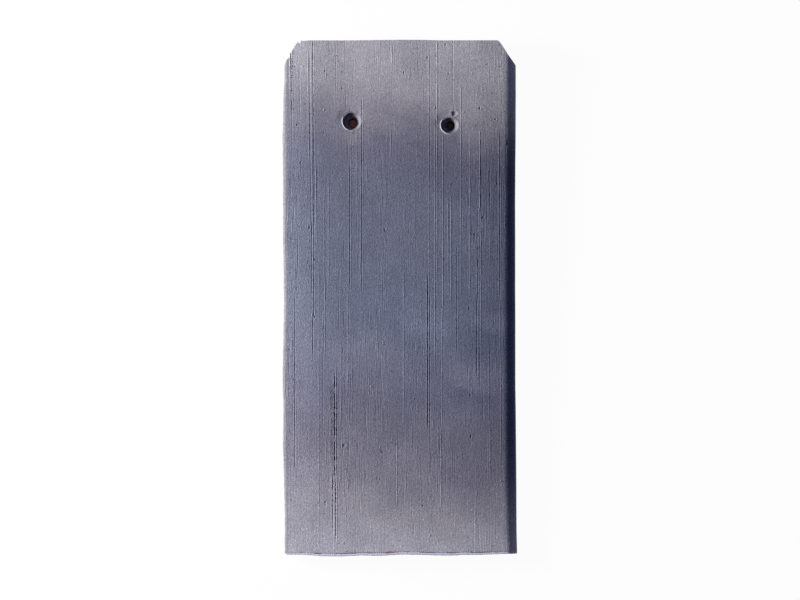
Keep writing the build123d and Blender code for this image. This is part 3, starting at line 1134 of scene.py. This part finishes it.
    # relief too fine for the mesh
    height = maths("MULTIPLY", maths("SUBTRACT", grain, 0.5), span(ends, 0, 1, *engobe["grainRelief"]))
    lined = maths("MULTIPLY", maths("SUBTRACT", hairRidges, hairGrooves), grouped)
    lined = maths("MULTIPLY", lined, span(ends, 0, 1, *engobe["hairRelief"]))
    height = maths("ADD", height, lined)
    specks = maths("MULTIPLY", maths("SUBTRACT", sand, pinholes), engobe["sandRelief"])
    height = maths("ADD", height, specks)
    height = maths("SUBTRACT", height, maths("MULTIPLY", scratches, engobe["scratchRelief"]))
    bump = nodes.new("ShaderNodeBump")
    bump.inputs["Strength"].default_value = 1.0
    bump.inputs["Distance"].default_value = 1.0
    links.new(height, bump.inputs["Height"])
    links.new(bump.outputs["Normal"], shader.inputs["Normal"])
    output = nodes.new("ShaderNodeOutputMaterial")
    links.new(shader.outputs[0], output.inputs["Surface"])
    print("material", len(nodes), "nodes")
    return material


piece = makeTile()
piece.data.materials.append(engobedClay())
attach(piece, "root")
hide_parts("roof_tile")

studio = {
    "floorSize": 8.0,
    "floorTone": (0.80, 0.80, 0.80, 1),
    "floorGlow": 0.96,
    "shadeInset": 0.03,
    "skyTone": (0.80, 0.92, 1.25, 1),
    "skyStrength": 0.11,
    "keyTone": (1.0, 0.98, 0.94),
    "keyPower": 39.0,
    "keyDistance": 1.3,
    "keyElevation": 22.0,
    "keyTurn": 10.0,
    "keySize": 0.42,
    "lens": 150.0,
    "cameraTilt": 1.6,
    "frameWidth": 0.622,
    "aimShift": 0.0023,
}


# camera, glossy and transmission rays, which see the plain white studio
def whiteShare(tree):
    path = tree.nodes.new("ShaderNodeLightPath")
    share = mathsNode(tree, "MAXIMUM", path.outputs["Is Camera Ray"], path.outputs["Is Glossy Ray"])
    return mathsNode(tree, "MAXIMUM", share, path.outputs["Is Transmission Ray"])


# how much the floor glows white: not at all in the tile's own shade under it
def openFloor(tree):
    coordinates = tree.nodes.new("ShaderNodeTexCoord")
    axes = tree.nodes.new("ShaderNodeSeparateXYZ")
    tree.links.new(coordinates.outputs["Object"], axes.inputs[0])
    sides = []
    for name, reach in (("X", halfWidth * mm), ("Y", halfLength * mm)):
        edge = tree.nodes.new("ShaderNodeMapRange")
        edge.inputs["From Min"].default_value = reach - studio["shadeInset"]
        edge.inputs["From Max"].default_value = reach - studio["shadeInset"] / 3
        feed(tree, edge.inputs["Value"], mathsNode(tree, "ABSOLUTE", axes.outputs[name]))
        sides.append(edge.outputs["Result"])
    return mathsNode(tree, "MAXIMUM", *sides)


def makeFloor():
    bm = bmesh.new()
    bmesh.ops.create_grid(bm, x_segments=1, y_segments=1, size=studio["floorSize"] / 2)
    bmesh.ops.translate(bm, verts=bm.verts, vec=(0, 0, cadBounds[0].z))
    mesh = bpy.data.meshes.new("studioFloor")
    bm.to_mesh(mesh)
    bm.free()
    floor = bpy.data.objects.new("studioFloor", mesh)
    bpy.context.scene.collection.objects.link(floor)
    material = bpy.data.materials.new("paleFloor")
    material.use_nodes = True
    tree = material.node_tree
    nodes, links = tree.nodes, tree.links
    nodes.clear()
    matt = nodes.new("ShaderNodeBsdfDiffuse")
    matt.inputs["Color"].default_value = studio["floorTone"]
    glow = nodes.new("ShaderNodeEmission")
    glowShare = mathsNode(tree, "MULTIPLY", whiteShare(tree), openFloor(tree))
    glowShare = mathsNode(tree, "MULTIPLY", glowShare, studio["floorGlow"])
    mix = nodes.new("ShaderNodeMixShader")
    links.new(glowShare, mix.inputs[0])
    links.new(matt.outputs[0], mix.inputs[1])
    links.new(glow.outputs[0], mix.inputs[2])
    output = nodes.new("ShaderNodeOutputMaterial")
    links.new(mix.outputs[0], output.inputs["Surface"])
    mesh.materials.append(material)


def makeWorld():
    world = bpy.data.worlds.new("studioSky")
    bpy.context.scene.world = world
    world.use_nodes = True
    tree = world.node_tree
    nodes, links = tree.nodes, tree.links
    nodes.clear()
    dim = nodes.new("ShaderNodeBackground")
    dim.inputs["Color"].default_value = studio["skyTone"]
    dim.inputs["Strength"].default_value = studio["skyStrength"]
    white = nodes.new("ShaderNodeBackground")
    mix = nodes.new("ShaderNodeMixShader")
    links.new(whiteShare(tree), mix.inputs[0])
    links.new(dim.outputs[0], mix.inputs[1])
    links.new(white.outputs[0], mix.inputs[2])
    output = nodes.new("ShaderNodeOutputWorld")
    links.new(mix.outputs[0], output.inputs["Surface"])


def makeLamp():
    rise, turn = math.radians(studio["keyElevation"]), math.radians(studio["keyTurn"])
    toLamp = upAxis * math.sin(rise)
    toLamp += (alongAxis * math.sin(turn) - acrossAxis * math.cos(turn)) * math.cos(rise)
    data = bpy.data.lights.new("windowLamp", "AREA")
    data.shape = "DISK"
    data.size = studio["keySize"]
    data.energy = studio["keyPower"]
    data.color = studio["keyTone"]
    lamp = bpy.data.objects.new("windowLamp", data)
    lamp.location = faceMiddle + toLamp * studio["keyDistance"]
    lamp.rotation_euler = (-toLamp).to_track_quat("-Z", "Y").to_euler()
    bpy.context.scene.collection.objects.link(lamp)


def makeCamera():
    data = bpy.data.cameras.new("camera")
    data.lens = studio["lens"]
    data.sensor_width = 36
    distance = studio["frameWidth"] * data.lens / data.sensor_width
    tilt = math.radians(studio["cameraTilt"])
    back = upAxis * math.cos(tilt) - alongAxis * math.sin(tilt)
    top = back.cross(acrossAxis)
    aim = faceMiddle - alongAxis * studio["aimShift"]
    camera = bpy.data.objects.new("camera", data)
    turned = Matrix((acrossAxis, top, back)).transposed().to_4x4()
    camera.matrix_world = Matrix.Translation(aim + back * distance) @ turned
    bpy.context.scene.collection.objects.link(camera)
    bpy.context.scene.camera = camera


makeFloor()
makeWorld()
makeLamp()
makeCamera()
bpy.context.scene.view_settings.view_transform = "Standard"
print("studio ready")
